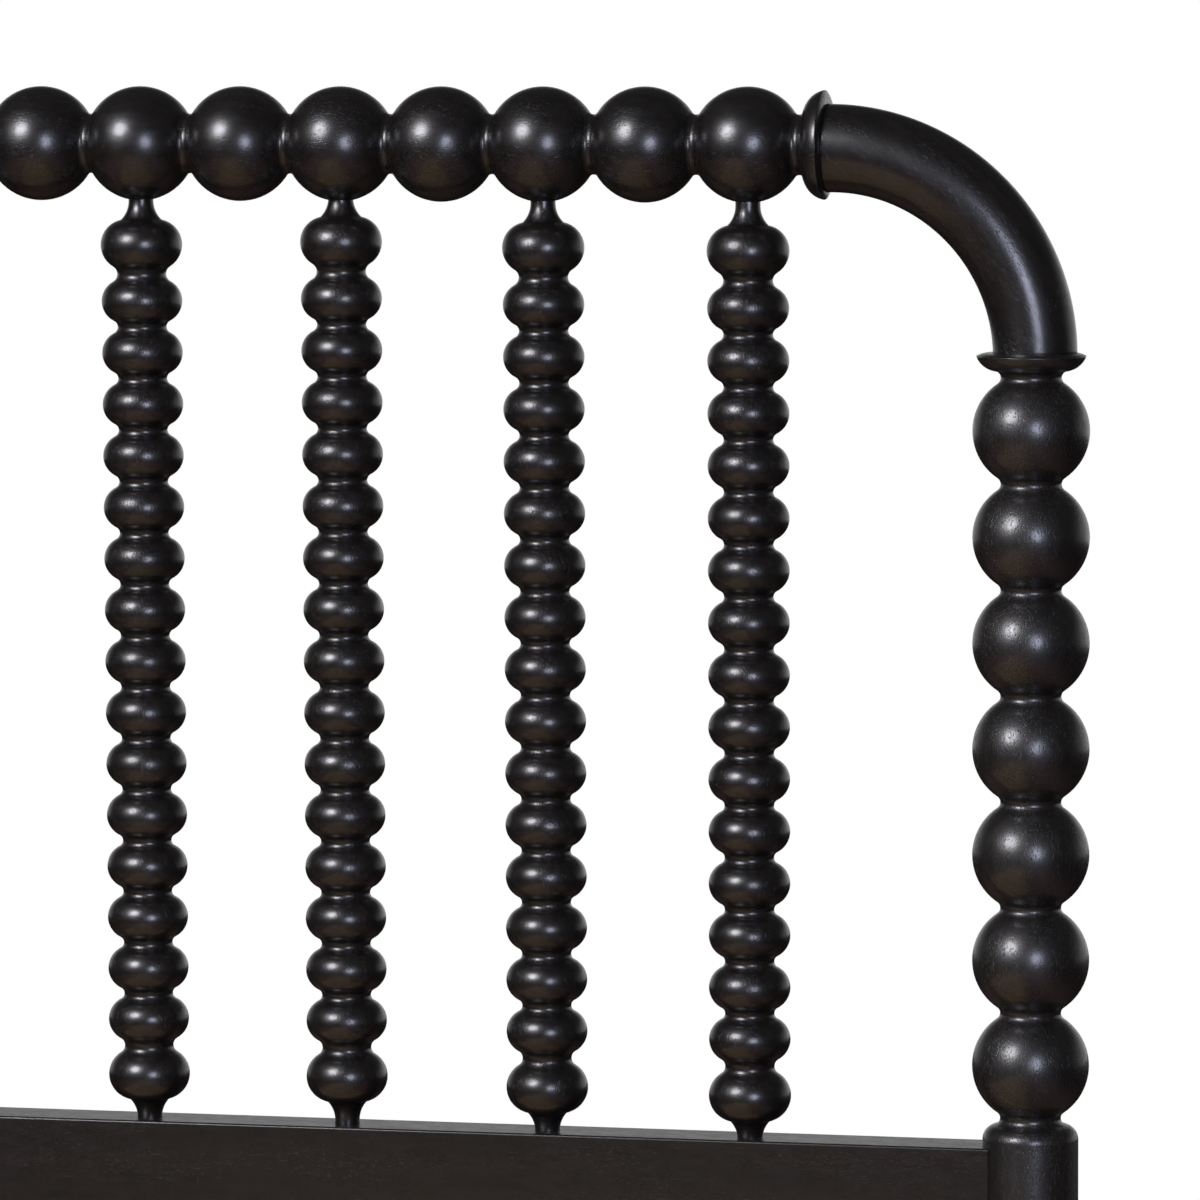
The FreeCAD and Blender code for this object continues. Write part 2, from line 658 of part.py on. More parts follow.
def make_cleat():
    """The right cleat, bored for the slat screws and for its own screws."""
    cleat = block((side_rail_inner_x - cleat_width, side_rail_inner_x),
                  (-cleat_length / 2, cleat_length / 2),
                  (cleat_top - cleat_height, cleat_top))
    into_cleat = slat_screw_length - slat_thickness + bore_end_room
    cuts = [rod(screw_radius + screw_gap, Vector(slat_screw_x, y, cleat_top), Vector(0, 0, -1), into_cleat)
            for y in slat_ys]
    own_hole = turn_screw(cleat_screw_length, screw_gap)
    cuts += [cleat_screw_at(own_hole, y) for y in cleat_screw_ys]
    return cleat.cut(cuts)


def make_slat(y):
    """One slat with a countersunk hole over each cleat."""
    slat = block((-slat_length / 2, slat_length / 2),
                 (y - slat_width / 2, y + slat_width / 2),
                 (cleat_top, deck_top))
    slat = eased(slat, Vector(1, 0, 0), slat_edge)
    hole = turn_screw(slat_screw_length, screw_gap)
    return slat.cut([hole.translated(place) for place in slat_screw_places() if place.y == y])


# ---- All the nodes ----
nodes = {}
nodes.update(make_board(headboard))
nodes.update(make_board(footboard))
for side, is_left in (("left", True), ("right", False)):
    nodes[side + "_side_rail"] = mirrored(make_side_rail(), is_left, False)
    nodes[side + "_cleat"] = mirrored(make_cleat(), is_left, False)
for number, slat_y in enumerate(slat_ys, start=1):
    nodes["slat_%02d" % number] = make_slat(slat_y)

bolts = [copy for z in bolt_zs for copy in at_corners(make_bolt().translated(Vector(0, 0, z)))]
nuts = [copy for z in bolt_zs for copy in at_corners(make_barrel_nut().translated(Vector(0, 0, z)))]
nodes["bed_bolts"] = Part.makeCompound(bolts)
nodes["barrel_nuts"] = Part.makeCompound(nuts)
nodes["locating_dowels"] = Part.makeCompound(at_corners(make_locating_dowel()))
nodes["floor_glides"] = Part.makeCompound(at_corners(make_glide()))

slat_screw = turn_screw(slat_screw_length, 0)
cleat_screw = turn_screw(cleat_screw_length, 0)
right_cleat_screws = [cleat_screw_at(cleat_screw, y) for y in cleat_screw_ys]
left_cleat_screws = [mirrored(screw, True, False) for screw in right_cleat_screws]
nodes["slat_screws"] = Part.makeCompound([slat_screw.translated(place) for place in slat_screw_places()])
nodes["cleat_screws"] = Part.makeCompound(right_cleat_screws + left_cleat_screws)

os.makedirs("parts", exist_ok=True)
for name, shape in nodes.items():
    shape.exportStep("parts/%s.step" % name)
print("%d nodes, %d solids" % (len(nodes), sum(len(shape.Solids) for shape in nodes.values())))
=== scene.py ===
import math
from collections import namedtuple

import bpy
import numpy as np
from bpy.props import FloatProperty, FloatVectorProperty, IntProperty, PointerProperty, StringProperty
from mathutils import Matrix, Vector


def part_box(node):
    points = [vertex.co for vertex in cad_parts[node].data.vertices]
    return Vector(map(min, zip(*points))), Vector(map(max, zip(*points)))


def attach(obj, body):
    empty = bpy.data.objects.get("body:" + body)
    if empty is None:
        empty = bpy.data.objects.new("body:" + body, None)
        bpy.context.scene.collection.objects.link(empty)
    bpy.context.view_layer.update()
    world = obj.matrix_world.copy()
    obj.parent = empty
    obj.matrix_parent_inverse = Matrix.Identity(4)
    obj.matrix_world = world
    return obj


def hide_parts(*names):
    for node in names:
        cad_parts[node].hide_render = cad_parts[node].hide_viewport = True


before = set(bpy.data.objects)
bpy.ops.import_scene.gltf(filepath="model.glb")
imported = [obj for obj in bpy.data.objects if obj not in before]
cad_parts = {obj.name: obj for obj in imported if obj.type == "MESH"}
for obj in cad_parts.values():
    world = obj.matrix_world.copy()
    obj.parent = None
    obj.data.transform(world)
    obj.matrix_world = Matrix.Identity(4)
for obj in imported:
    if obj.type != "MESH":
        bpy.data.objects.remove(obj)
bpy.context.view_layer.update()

bl_info = {
    "name": "Spindle bed",
    "version": (1, 0, 0),
    "blender": (4, 5, 0),
    "location": "3D View > Sidebar > Spindle bed",
    "description": "Turned pieces, finishes and studio for a black spindle bed",
    "category": "Object",
}

# The way each end board lies from the middle of the bed along Y, and each side along X
BOARDS = {"headboard": 1, "footboard": -1}
SIDES = {"left": -1, "right": 1}


# ---- Reading the frame ----
Extent = namedtuple("Extent", "low high middle")


def extent(node):
    """Lowest and highest corner of a CAD node, and the middle between them."""
    low, high = (np.array(corner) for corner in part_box(node))
    return Extent(low, high, (low + high) / 2)


def numbered(kind):
    """The CAD nodes whose names end with that kind and a number, in order of name."""
    return sorted(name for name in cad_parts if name.rstrip("0123456789").endswith(kind + "_"))


# ---- Settings ----
def length(name, description, default):
    return FloatProperty(name=name, description=description, default=default,
                         min=0, precision=5, unit="LENGTH")


def colour(name, description, default):
    return StringProperty(name=name, description=description + ", as an sRGB hex value", default=default)


class BED_PG_rail(bpy.types.PropertyGroup):
    """Turning of the top rails."""

    neck: length("Neck radius", "Radius at the waist between two beads", 0.0146)
    cove: length("Cove radius", "Radius of the hollow round each waist", 0.00324)
    offset: length("Bead offset", "Distance of a bead's arc from the turning axis", 0.0007)
    beads_to_spindle: IntProperty(name="Beads to a spindle", default=2, min=1,
                                  description="Beads of the rail to each spindle")


class BED_PG_post(bpy.types.PropertyGroup):
    """Turning of the posts."""

    radius: length("Plain radius", "Radius of the plain part", 0.0232)
    pitch: length("Bead pitch", "Distance between two waists", 0.0513)
    neck: length("Neck radius", "Radius at a waist", 0.0147)
    cove: length("Cove radius", "Radius of the hollow round each waist", 0.0035)
    offset: length("Bead offset", "Distance of a bead's arc from the turning axis", 0.00075)
    shoulder: length("Shoulder radius", "Rounding where the plain part meets a waist", 0.007)
    shoulder_margin: length("Shoulder margin", "Least plain length above a cross rail", 0.001)
    leg_margin: length("Leg margin", "Plain length below the side rails", 0.012)
    foot: length("Foot height", "Least height of the lowest waist above the glide", 0.060)
    toe: length("Toe radius", "Radius at the bottom of the foot", 0.017)
    toe_chamfer: length("Toe chamfer", "Chamfer round the toe", 0.0015)
    bolt_seat: length("Bolt seat radius", "Radius of the recess round a bolt head", 0.0086)
    bolt_depth: length("Bolt seat depth", "Depth of that recess", 0.010)


class BED_PG_collar(bpy.types.PropertyGroup):
    """Collars on rails and posts, and the elbows let into them."""

    radius: length("Collar radius", "Radius of the rim", 0.0264)
    cove: length("Cove radius", "Hollow between the waist and the bowl", 0.0031)
    bowl: length("Bowl radius", "Arc of the rounded underside", 0.0113)
    rail_depth: length("Rail bowl depth", "Depth of the bowl on a rail", 0.0092)
    post_depth: length("Post bowl depth", "Depth of the bowl on a post", 0.00705)
    rim: length("Rim", "Thickness of the rim", 0.0005)
    socket: length("Socket depth", "How deep an elbow is let in", 0.00195)
    gap: length("Seam", "Open seam round an elbow", 0.0002)
    reach: length("Elbow reach", "From the axis of each turning to the elbow's seat on the other", 0.1012)
    drop: length("Elbow drop", "How far an elbow sits below the rail's axis", 0.0015)
    outset: length("Elbow outset", "How far an elbow sits outboard of the post's axis", 0.0019)
    rail_end: length("Rail end radius", "Radius of an elbow at the rail", 0.0213)
    post_end: length("Post end radius", "Radius of an elbow at the post", 0.0203)


class BED_PG_spindle(bpy.types.PropertyGroup):
    """Turning of the bobbin spindles."""

    pitch: length("Bead pitch", "Distance between two waists", 0.0255)
    neck: length("Neck radius", "Radius at a waist", 0.01204)
    cove: length("Cove radius", "Radius of the hollow round each waist", 0.0033)
    offset: length("Bead offset", "Distance of a bead's arc from the turning axis", 0.0089)
    end_radius: length("End bead radius", "Radius of the first and last bead", 0.0201)
    end_arc: length("End bead arc", "Arc radius of those beads", 0.0126)
    end_cove: length("End cove", "Radius of the hollow beside those beads", 0.0043)
    end_rise: length("End rise", "Middle of an end bead to the rail's face", 0.0217)
    crease: length("Crease radius", "Radius where an end bead runs into its stem", 0.010)
    peg: length("Peg radius", "Radius of the peg in the rail", 0.0061)
    peg_length: length("Peg length", "Length of the peg in the rail", 0.020)


class BED_PG_finish(bpy.types.PropertyGroup):
    """Colours and sheen of the finishes."""

    stain: colour("Stain", "Black-brown stain on the wood", "#110C0B")
    stain_deep: colour("Deep stain", "Stain in the dense grain", "#090707")
    # Part of this colour is painted glint: the pale flecks stand for pale filler in the widest pores and for
    # their walls catching the light
    pore: colour("Pore", "Shallow pores, paler than the stained wood", "#352D2B")
    sheen: FloatProperty(name="Sheen", default=0.235, min=0, max=1, subtype="FACTOR",
                         description="Roughness of the lacquer's own surface")
    haze: FloatProperty(name="Haze", default=0.38, min=0, max=1, subtype="FACTOR",
                        description="Roughness of the sealed wood under the lacquer")
    post_haze: FloatProperty(name="Post haze", default=0.43, min=0, max=1, subtype="FACTOR",
                             description="Roughness of that wood on the posts, whose grain is coarser")
    film: FloatProperty(name="Lacquer", default=0.85, min=0, max=1, subtype="FACTOR",
                        description="How much of the turned wood the lacquer covers")
    board_film: FloatProperty(name="Board lacquer", default=0.62, min=0, max=1, subtype="FACTOR",
                              description="How much of the flat rails the lacquer covers")
    pine: colour("Pine", "Early wood of the slats", "#E2C79B")
    pine_late: colour("Late pine", "Late wood of the slats", "#C79A62")
    beech: colour("Beech", "Dowel wood", "#D3AC80")
    beech_fleck: colour("Beech fleck", "Flecks in the dowel wood", "#AE8258")
    black_oxide: colour("Black oxide", "Blackened steel of the bolts", "#2B2B2D")
    zinc: colour("Zinc", "Plating of the nuts and screws", "#B9BDC2")
    nylon: colour("Nylon", "Moulded glides", "#2E2C2A")


class BED_PG_stage(bpy.types.PropertyGroup):
    """Floor, light and camera."""

    floor: colour("Floor", "Pale floor", "#D8D3CE")
    # Painted light: the floor's colour in reflections and bounced light, in place of its own pale colour. The
    # near one is a warm brown that stands in for a lit floor, the far one a painted shade for an unlit floor
    bounce: colour("Bounce", "Colour of the near floor in reflections and bounced light", "#806A65")
    bounce_far: colour("Far bounce", "Colour of the unlit far floor in the same light", "#282321")
    camera_place: FloatVectorProperty(name="Camera", description="Place of the camera", size=3, unit="LENGTH",
                                      default=(1.0789, -2.4742, 1.2402), subtype="TRANSLATION")
    heading: FloatProperty(name="Heading", description="Turn of the camera to the left of the bed's length",
                           default=0.2266, subtype="ANGLE", unit="ROTATION")
    dip: FloatProperty(name="Dip", description="Turn of the camera below the horizon",
                       default=0.09062, subtype="ANGLE", unit="ROTATION")
    roll: FloatProperty(name="Roll", description="Turn of the camera about its own line of sight",
                        default=0.004158, subtype="ANGLE", unit="ROTATION")
    focal_length: FloatProperty(name="Focal length", description="In millimetres, on a sensor 36 mm wide",
                                default=218.97, min=1, subtype="DISTANCE_CAMERA")
    key_power: FloatProperty(name="Key light", description="Power of the big soft box",
                             default=150, min=0, unit="POWER")
    window_power: FloatProperty(name="Window light", description="Power of the tall cool light",
                                default=43, min=0, unit="POWER")
    fill_power: FloatProperty(name="Fill light", description="Power of the wide light round the key light",
                              default=28, min=0, unit="POWER")
    sky: FloatProperty(name="Room light", description="Strength of the even light from all sides",
                       default=0.45, min=0)


class BED_PG_settings(bpy.types.PropertyGroup):
    """All settings of the bed."""

    rail: PointerProperty(type=BED_PG_rail)
    post: PointerProperty(type=BED_PG_post)
    collar: PointerProperty(type=BED_PG_collar)
    spindle: PointerProperty(type=BED_PG_spindle)
    finish: PointerProperty(type=BED_PG_finish)
    stage: PointerProperty(type=BED_PG_stage)


# ---- Turned outlines: arrays of (radius, height) running up the turning axis ----
RIM_EASING = 0.0002
TOE_EASING = 0.0006


def arc(radius_at, height_at, size, start, end, steps):
    """An arc: its centre plus size times the cosine and sine of evenly spaced angles."""
    angle = np.linspace(start, end, steps)
    return np.column_stack((radius_at + size * np.cos(angle), height_at + size * np.sin(angle)))


def rise(neck, cove, offset, size):
    """Height from a waist to the centre of the round that its cove runs into: the other side of the
    right triangle between the two arc centres, (size + cove) long and (neck + cove - offset) wide."""
    return math.sqrt((size + cove) ** 2 - (neck + cove - offset) ** 2)


def bead_size(pitch, neck, cove, offset):
    """Arc radius of a bead between two equal waists: the distance between the arc centres less the cove."""
    return math.hypot(neck + cove - offset, pitch / 2) - cove


def swell(neck, cove, offset, size, end, cove_steps=7, round_steps=12):
    """From a waist at height 0 up its cove and over the round above it, to the angle end on that round.
    Both arcs meet on the line between their centres."""
    height = rise(neck, cove, offset, size)
    meeting = math.atan2(-height, neck + cove - offset)
    hollow = arc(neck + cove, 0, cove, math.pi, math.pi + meeting, cove_steps)
    return np.concatenate((hollow, arc(offset, height, size, meeting, end, round_steps)[1:]))


def flipped(outline):
    """The outline upside down, still running upwards."""
    return outline[::-1] * (1, -1)


def raised(outline, height):
    return outline + (0, height)


def bead_row(bottom, count, pitch, neck, cove, offset):
    """Equal beads up from the waist at height bottom: half a bead and its mirror image, repeated at each
    multiple of the pitch."""
    half = swell(neck, cove, offset, bead_size(pitch, neck, cove, offset), 0)
    bead = np.concatenate((half, raised(flipped(half), pitch)[1:]))
    row = bead[None, :-1] + np.stack((np.zeros(count), bottom + pitch * np.arange(count)), 1)[:, None]
    return np.concatenate((row.reshape(-1, 2), [(neck, bottom + pitch * count)]))


def softened(points, size, steps=5):
    """Straight edges through the points, with each inner corner a quadratic curve that starts and ends
    at the distance size from it."""
    points = np.array(points, float)
    corner, before, after = points[1:-1], points[:-2], points[2:]
    start = corner + size * (before - corner) / np.linalg.norm(before - corner, axis=1, keepdims=True)
    end = corner + size * (after - corner) / np.linalg.norm(after - corner, axis=1, keepdims=True)
    step = np.linspace(0, 1, steps)[None, :, None]
    curve = ((1 - step) ** 2 * start[:, None] + 2 * step * (1 - step) * corner[:, None]
             + step ** 2 * end[:, None])
    return np.concatenate((points[:1], curve.reshape(-1, 2), points[-1:]))


def collar_outline(collar, neck, depth, crown_radius):
    """A flared collar up from its waist at height 0: cove, bowl, thin rim and an end that is domed from
    the rim to the crown and flat inside it. Returned with the height of the elbow's seat. The dome is the
    arc that rises by the drop between the rim's radius and the crown's."""
    offset = collar.radius - math.sqrt(collar.bowl ** 2 - (collar.bowl - depth) ** 2)
    centre = rise(neck, collar.cove, offset, collar.bowl)
    seat = centre - (collar.bowl - depth)
    bowl = swell(neck, collar.cove, offset, collar.bowl, math.asin((depth - collar.bowl) / collar.bowl))
    drop = collar.socket - collar.rim
    crown = ((collar.radius - crown_radius) ** 2 + drop ** 2) / (2 * drop)
    top = seat + collar.socket
    dome = arc(crown_radius, top - crown, crown, math.acos((collar.radius - crown_radius) / crown),
               math.pi / 2, steps=7)
    edge = softened([bowl[-1], dome[0], dome[2]], RIM_EASING)
    return np.concatenate((bowl[:-1], edge, dome[3:], [(0, top)])), seat


def post_outline(settings, top, cross_rail_top, side_rail_bottom, floor):
    """A post from its toe up to the elbow's seat: tapered foot, beaded leg, plain part, beads, collar."""
    post, collar = settings.post, settings.collar
    head, seat_rise = collar_outline(collar, post.neck, collar.post_depth, collar.post_end)
    shoulder_rise = rise(post.neck, post.cove, post.radius - post.shoulder, post.shoulder)
    shoulder = swell(post.neck, post.cove, post.radius - post.shoulder, post.shoulder, 0)
    top_neck = top - collar.socket - seat_rise
    beads = int((top_neck - shoulder_rise - post.shoulder_margin - cross_rail_top) // post.pitch)
    leg_neck = side_rail_bottom - post.leg_margin - shoulder_rise
    leg_beads = int((leg_neck - post.foot - floor) // post.pitch)
    foot_neck = leg_neck - leg_beads * post.pitch
    last_neck = top_neck - beads * post.pitch
    turning = (post.pitch, post.neck, post.cove, post.offset)
    foot = softened([(0, floor), (post.toe - post.toe_chamfer, floor), (post.toe, floor + post.toe_chamfer),
                     (post.radius, foot_neck - shoulder_rise)], TOE_EASING)
    return np.concatenate((foot[:-1], raised(flipped(shoulder), foot_neck)[:-1],
                           bead_row(foot_neck, leg_beads, *turning)[:-1], raised(shoulder, leg_neck),
                           raised(flipped(shoulder), last_neck)[:-1],
                           bead_row(last_neck, beads, *turning)[:-1], raised(head, top_neck)))


def rail_outline(settings, half_length, beads):
    """A top rail along its own axis from end to end: collar, beads, collar."""
    rail, collar = settings.rail, settings.collar
    end, seat_rise = collar_outline(collar, rail.neck, collar.rail_depth, collar.rail_end)
    last_neck = half_length - collar.socket - seat_rise
    row = bead_row(-last_neck, beads, 2 * last_neck / beads, rail.neck, rail.cove, rail.offset)
    return np.concatenate((raised(flipped(end), -last_neck)[:-1], row[:-1], raised(end, last_neck)))


def spindle_outline(settings, bottom, top):
    """A bobbin spindle from peg to peg: stem, end bead, equal beads, end bead, stem."""
    spindle = settings.spindle
    turning = (spindle.pitch, spindle.neck, spindle.cove, spindle.offset)
    size = bead_size(*turning)
    end_offset = spindle.end_radius - spindle.end_arc
    last_rise = rise(spindle.neck, spindle.end_cove, spindle.offset, size)
    end_rise = rise(spindle.neck, spindle.end_cove, end_offset, spindle.end_arc)
    crease = math.acos((spindle.crease - end_offset) / spindle.end_arc)
    crease_rise = spindle.end_arc * math.sin(crease)
    flare_width = spindle.crease - spindle.peg
    flare_rise = spindle.end_rise - crease_rise
    stem_arc = (flare_rise ** 2 + flare_width ** 2) / (2 * flare_width)
    stem = arc(spindle.peg + stem_arc, end_rise + spindle.end_rise, stem_arc,
               math.pi + math.asin(flare_rise / stem_arc), math.pi, steps=9)
    tip = end_rise + spindle.end_rise + spindle.peg_length
    end_bead = swell(spindle.neck, spindle.end_cove, end_offset, spindle.end_arc, crease, round_steps=16)
    end = np.concatenate((end_bead, stem[1:], [(spindle.peg, tip), (0, tip)]))
    inner = swell(spindle.neck, spindle.end_cove, spindle.offset, size, 0)
    plain = swell(spindle.neck, spindle.cove, spindle.offset, size, 0)
    length_between = top - bottom - 2 * (tip + last_rise)
    beads = round(length_between / spindle.pitch) + 1
    first = bottom + tip + last_rise
    last = first + (beads - 1) * spindle.pitch
    row = bead_row(first + spindle.pitch / 2, beads - 2, *turning)
    lower_end = raised(flipped(end), bottom + tip)
    upper_end = raised(end, last + last_rise)
    return np.concatenate((lower_end[:-1], raised(inner, bottom + tip)[:-1],
                           raised(flipped(plain), first + spindle.pitch / 2)[:-1], row[:-1],
                           raised(plain, last - spindle.pitch / 2)[:-1],
                           raised(flipped(inner), last + last_rise)[:-1], upper_end))


# ---- Surfaces ----
CRISP_EDGE = math.radians(50)


def skin(name, rings):
    """A closed mesh through rings of points, shape (rings, points, 3), each ring running anticlockwise
    seen against the way the rings follow one another. The first and last ring shrink to one point each."""
    count, around = rings.shape[0] - 2, rings.shape[1]
    points = np.concatenate((rings[0, :1], rings[1:-1].reshape(-1, 3), rings[-1, :1]))
    ring = 1 + np.arange(count * around).reshape(count, around)
    beside = np.roll(ring, -1, axis=1)
    quads = np.stack((ring[:-1], beside[:-1], beside[1:], ring[1:]), -1).reshape(-1, 4)
    first = np.stack((np.zeros(around, int), beside[0], ring[0]), -1)
    last = np.stack((np.full(around, len(points) - 1), ring[-1], beside[-1]), -1)
    mesh = bpy.data.meshes.new(name)
    mesh.from_pydata(points.tolist(), [], first.tolist() + quads.tolist() + last.tolist())
    mesh.shade_smooth()
    piece = bpy.data.objects.new(name, mesh)
    bpy.context.scene.collection.objects.link(piece)
    return piece


def circle(around, u, v):
    """Evenly spaced directions all round: cosine * u + sine * v, starting half a step on from u."""
    angle = 2 * np.pi * (np.arange(around)[:, None] + 0.5) / around
    return np.cos(angle) * u + np.sin(angle) * v


def turned(name, outline, origin, along, around=64):
    """An outline turned about the line through origin: each point goes to origin + height * along +
    radius * (cosine * u + sine * v), where u, v and along are square to one another."""
    along = np.array(along, float)
    u = np.array((0, 0, 1) if along[1] else (0, 1, 0), float)
    out = circle(around, u, np.cross(along, u))
    return skin(name, np.array(origin) + outline[:, 1, None, None] * along + outline[:, 0, None, None] * out)


def elbow_start(rail, side, collar):
    """Where an elbow is let into the end of its top rail: the socket's depth inside the rail's end, and
    the elbow's drop below its axis."""
    return side * (rail.high[0] - collar.socket), rail.middle[1], rail.middle[2] - collar.drop


def elbow_surface(name, start, side, collar, steps=56, around=64):
    """A round bar, straight at the rail and then bent through a quarter circle: its centreline goes from
    start by the straight length along X, then by bend * (side * sine, 0, cosine - 1) of the turn, and its
    radius goes evenly from one end's to the other's. A ring shrunk to its own centre closes each end."""
    bend = collar.reach - collar.drop
    straight = np.array((side * (collar.drop + collar.outset), 0, 0))
    turn = np.linspace(0, np.pi / 2, steps)
    turn = np.concatenate((turn[:1], turn[:1], turn, turn[-1:]))[:, None]
    radius = collar.rail_end + (collar.post_end - collar.rail_end) * turn / (np.pi / 2)
    radius[0], radius[-1] = 0, 0
    zero = np.zeros_like(turn)
    out = np.concatenate((side * np.sin(turn), zero, np.cos(turn)), 1)
    along = np.concatenate((side * np.cos(turn), zero, -np.sin(turn)), 1)
    centre = np.array(start) + straight + bend * (out - (0, 0, 1))
    centre[:2] = start
    ring = circle(around, out[:, None], np.cross(along, out)[:, None])
    return skin(name, centre[:, None] + radius[:, :, None] * ring)


def cylinder(radius, origin, along, height):
    """A plain cylinder to cut with, a square-cornered outline turned."""
    return turned("cutter", np.array([(0, 0), (radius, 0), (radius, height), (0, height)]), origin, along)


def recessed(piece, cutters):
    """The piece with the cutters taken out of it, its new edges left crisp."""
    for cutter in cutters:
        cut = piece.modifiers.new("recess", "BOOLEAN")
        cut.operation = "DIFFERENCE"
        cut.solver = "EXACT"
        cut.object = cutter
    bpy.context.view_layer.update()
    plain = piece.data
    evaluated = piece.evaluated_get(bpy.context.evaluated_depsgraph_get())
    piece.data = bpy.data.meshes.new_from_object(evaluated)
    piece.modifiers.clear()
    piece.data.name = piece.name
    piece.data.set_sharp_from_angle(angle=CRISP_EDGE)
    bpy.data.meshes.remove(plain)
    for cutter in cutters:
        mesh = cutter.data
        bpy.data.objects.remove(cutter)
        bpy.data.meshes.remove(mesh)
    return piece


def place_piece(piece, node, material):
    """Gives a new piece its finish and lets it stand for its CAD node."""
    piece.data.materials.clear()
    piece.data.materials.append(material)
    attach(piece, "root")
    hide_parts(node)


def dress(node, material):
    """Gives a CAD node that keeps its own mesh a new finish."""
    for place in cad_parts[node].material_slots:
        place.material = material


# ---- Finishes ----
MILLIMETRES = 1000
# Turns that bring the grain of a piece onto Z
UPRIGHT = (0, 0, 0)
ACROSS = (0, math.pi / 2, 0)
LENGTHWISE = (math.pi / 2, 0, 0)
RIGHT_BEND = (0, math.pi / 4, 0)
LEFT_BEND = (0, -math.pi / 4, 0)
# Each black hardwood finish: the turn of its grain, the depth of its pores as a share of the deepest, the
# settings for the roughness of the wood and the cover of the lacquer, and the wood's specular level
HARDWOODS = {
    "black_stained_hardwood_post": (UPRIGHT, 0.55, "post_haze", "film", 0.65),
    "black_stained_hardwood_bobbin": (UPRIGHT, 0.35, "haze", "film", 0.5),
    "black_stained_hardwood_top_rail": (ACROSS, 0.35, "haze", "film", 0.5),
    "black_stained_hardwood_board_across": (ACROSS, 0.2, "haze", "board_film", 0.5),
    "black_stained_hardwood_board_lengthwise": (LENGTHWISE, 0.2, "haze", "board_film", 0.5),
    "black_stained_hardwood_right_elbow": (RIGHT_BEND, 0.4, "haze", "film", 0.5),
    "black_stained_hardwood_left_elbow": (LEFT_BEND, 0.4, "haze", "film", 0.5),
}
# How far the hardwood's patches stray from its roughness and cover, and what its deepest pores add to the
# one and take from the other
HAZE_SPREAD, FILM_SPREAD = 0.05, 0.07
PORE_DULLING, PORE_BARING = 0.45, 0.9
# Heights in metres of the relief that the bump nodes draw
SANDING_RIPPLE = 0.00010
PORE_IN_LACQUER = 0.00007
PORE_IN_WOOD = 0.00014
GRIT = 0.00005
PINE_FIBRE = 0.00005
MOULD_TEXTURE = 0.00003
FLOOR_GRIT = 0.0002
# Distances in metres from the middle of the floor: where its colour in reflections starts and ends getting
# darker, a painted shade for an unlit far floor, and where it starts and ends fading into the backdrop
LIT_END, UNLIT_START = 1.1, 2.4
FADE_START, FADE_END = 2.2, 4.2


def linear(code, alpha=1.0):
    """An sRGB hex colour as linear red, green, blue and alpha."""
    part = np.array([int(code[i:i + 2], 16) for i in (1, 3, 5)]) / 255
    part = np.where(part <= 0.04045, part / 12.92, ((part + 0.055) / 1.055) ** 2.4)
    return (*part.tolist(), alpha)


def add(tree, kind, inputs=None, **settings):
    """Adds a node, sets its own settings, then links or sets its inputs, each given by its name or its
    place among the inputs in use. A node given to an input is linked by its first output in use."""
    made = tree.nodes.new(kind)
    for name, value in settings.items():
        setattr(made, name, value)
    in_use = [socket for socket in made.inputs if socket.enabled]
    for key, value in (inputs or {}).items():
        target = in_use[key] if isinstance(key, int) else next(slot for slot in in_use if slot.name == key)
        if isinstance(value, bpy.types.Node):
            value = next(socket for socket in value.outputs if socket.enabled)
        if isinstance(value, bpy.types.NodeSocket):
            tree.links.new(value, target)
        else:
            target.default_value = value
    return made


def new_material(name):
    """An empty material with its node tree."""
    made = bpy.data.materials.new(name)
    made.use_nodes = True
    made.node_tree.nodes.clear()
    return made, made.node_tree


def grain(tree, tilt, across, along, detail):
    """Noise whose spots are about across millimetres over the grain and along millimetres with it. Object
    coordinates are turned so that the grain lies along Z, and stretched so that one unit has that size."""
    place = add(tree, "ShaderNodeTexCoord").outputs["Object"]
    levelled = add(tree, "ShaderNodeMapping", {"Vector": place, "Rotation": tilt})
    scale = (MILLIMETRES / across, MILLIMETRES / across, MILLIMETRES / along)
    cells = add(tree, "ShaderNodeMapping", {"Vector": levelled, "Scale": scale})
    return add(tree, "ShaderNodeTexNoise", {"Vector": cells, "Scale": 1.0, "Detail": detail})


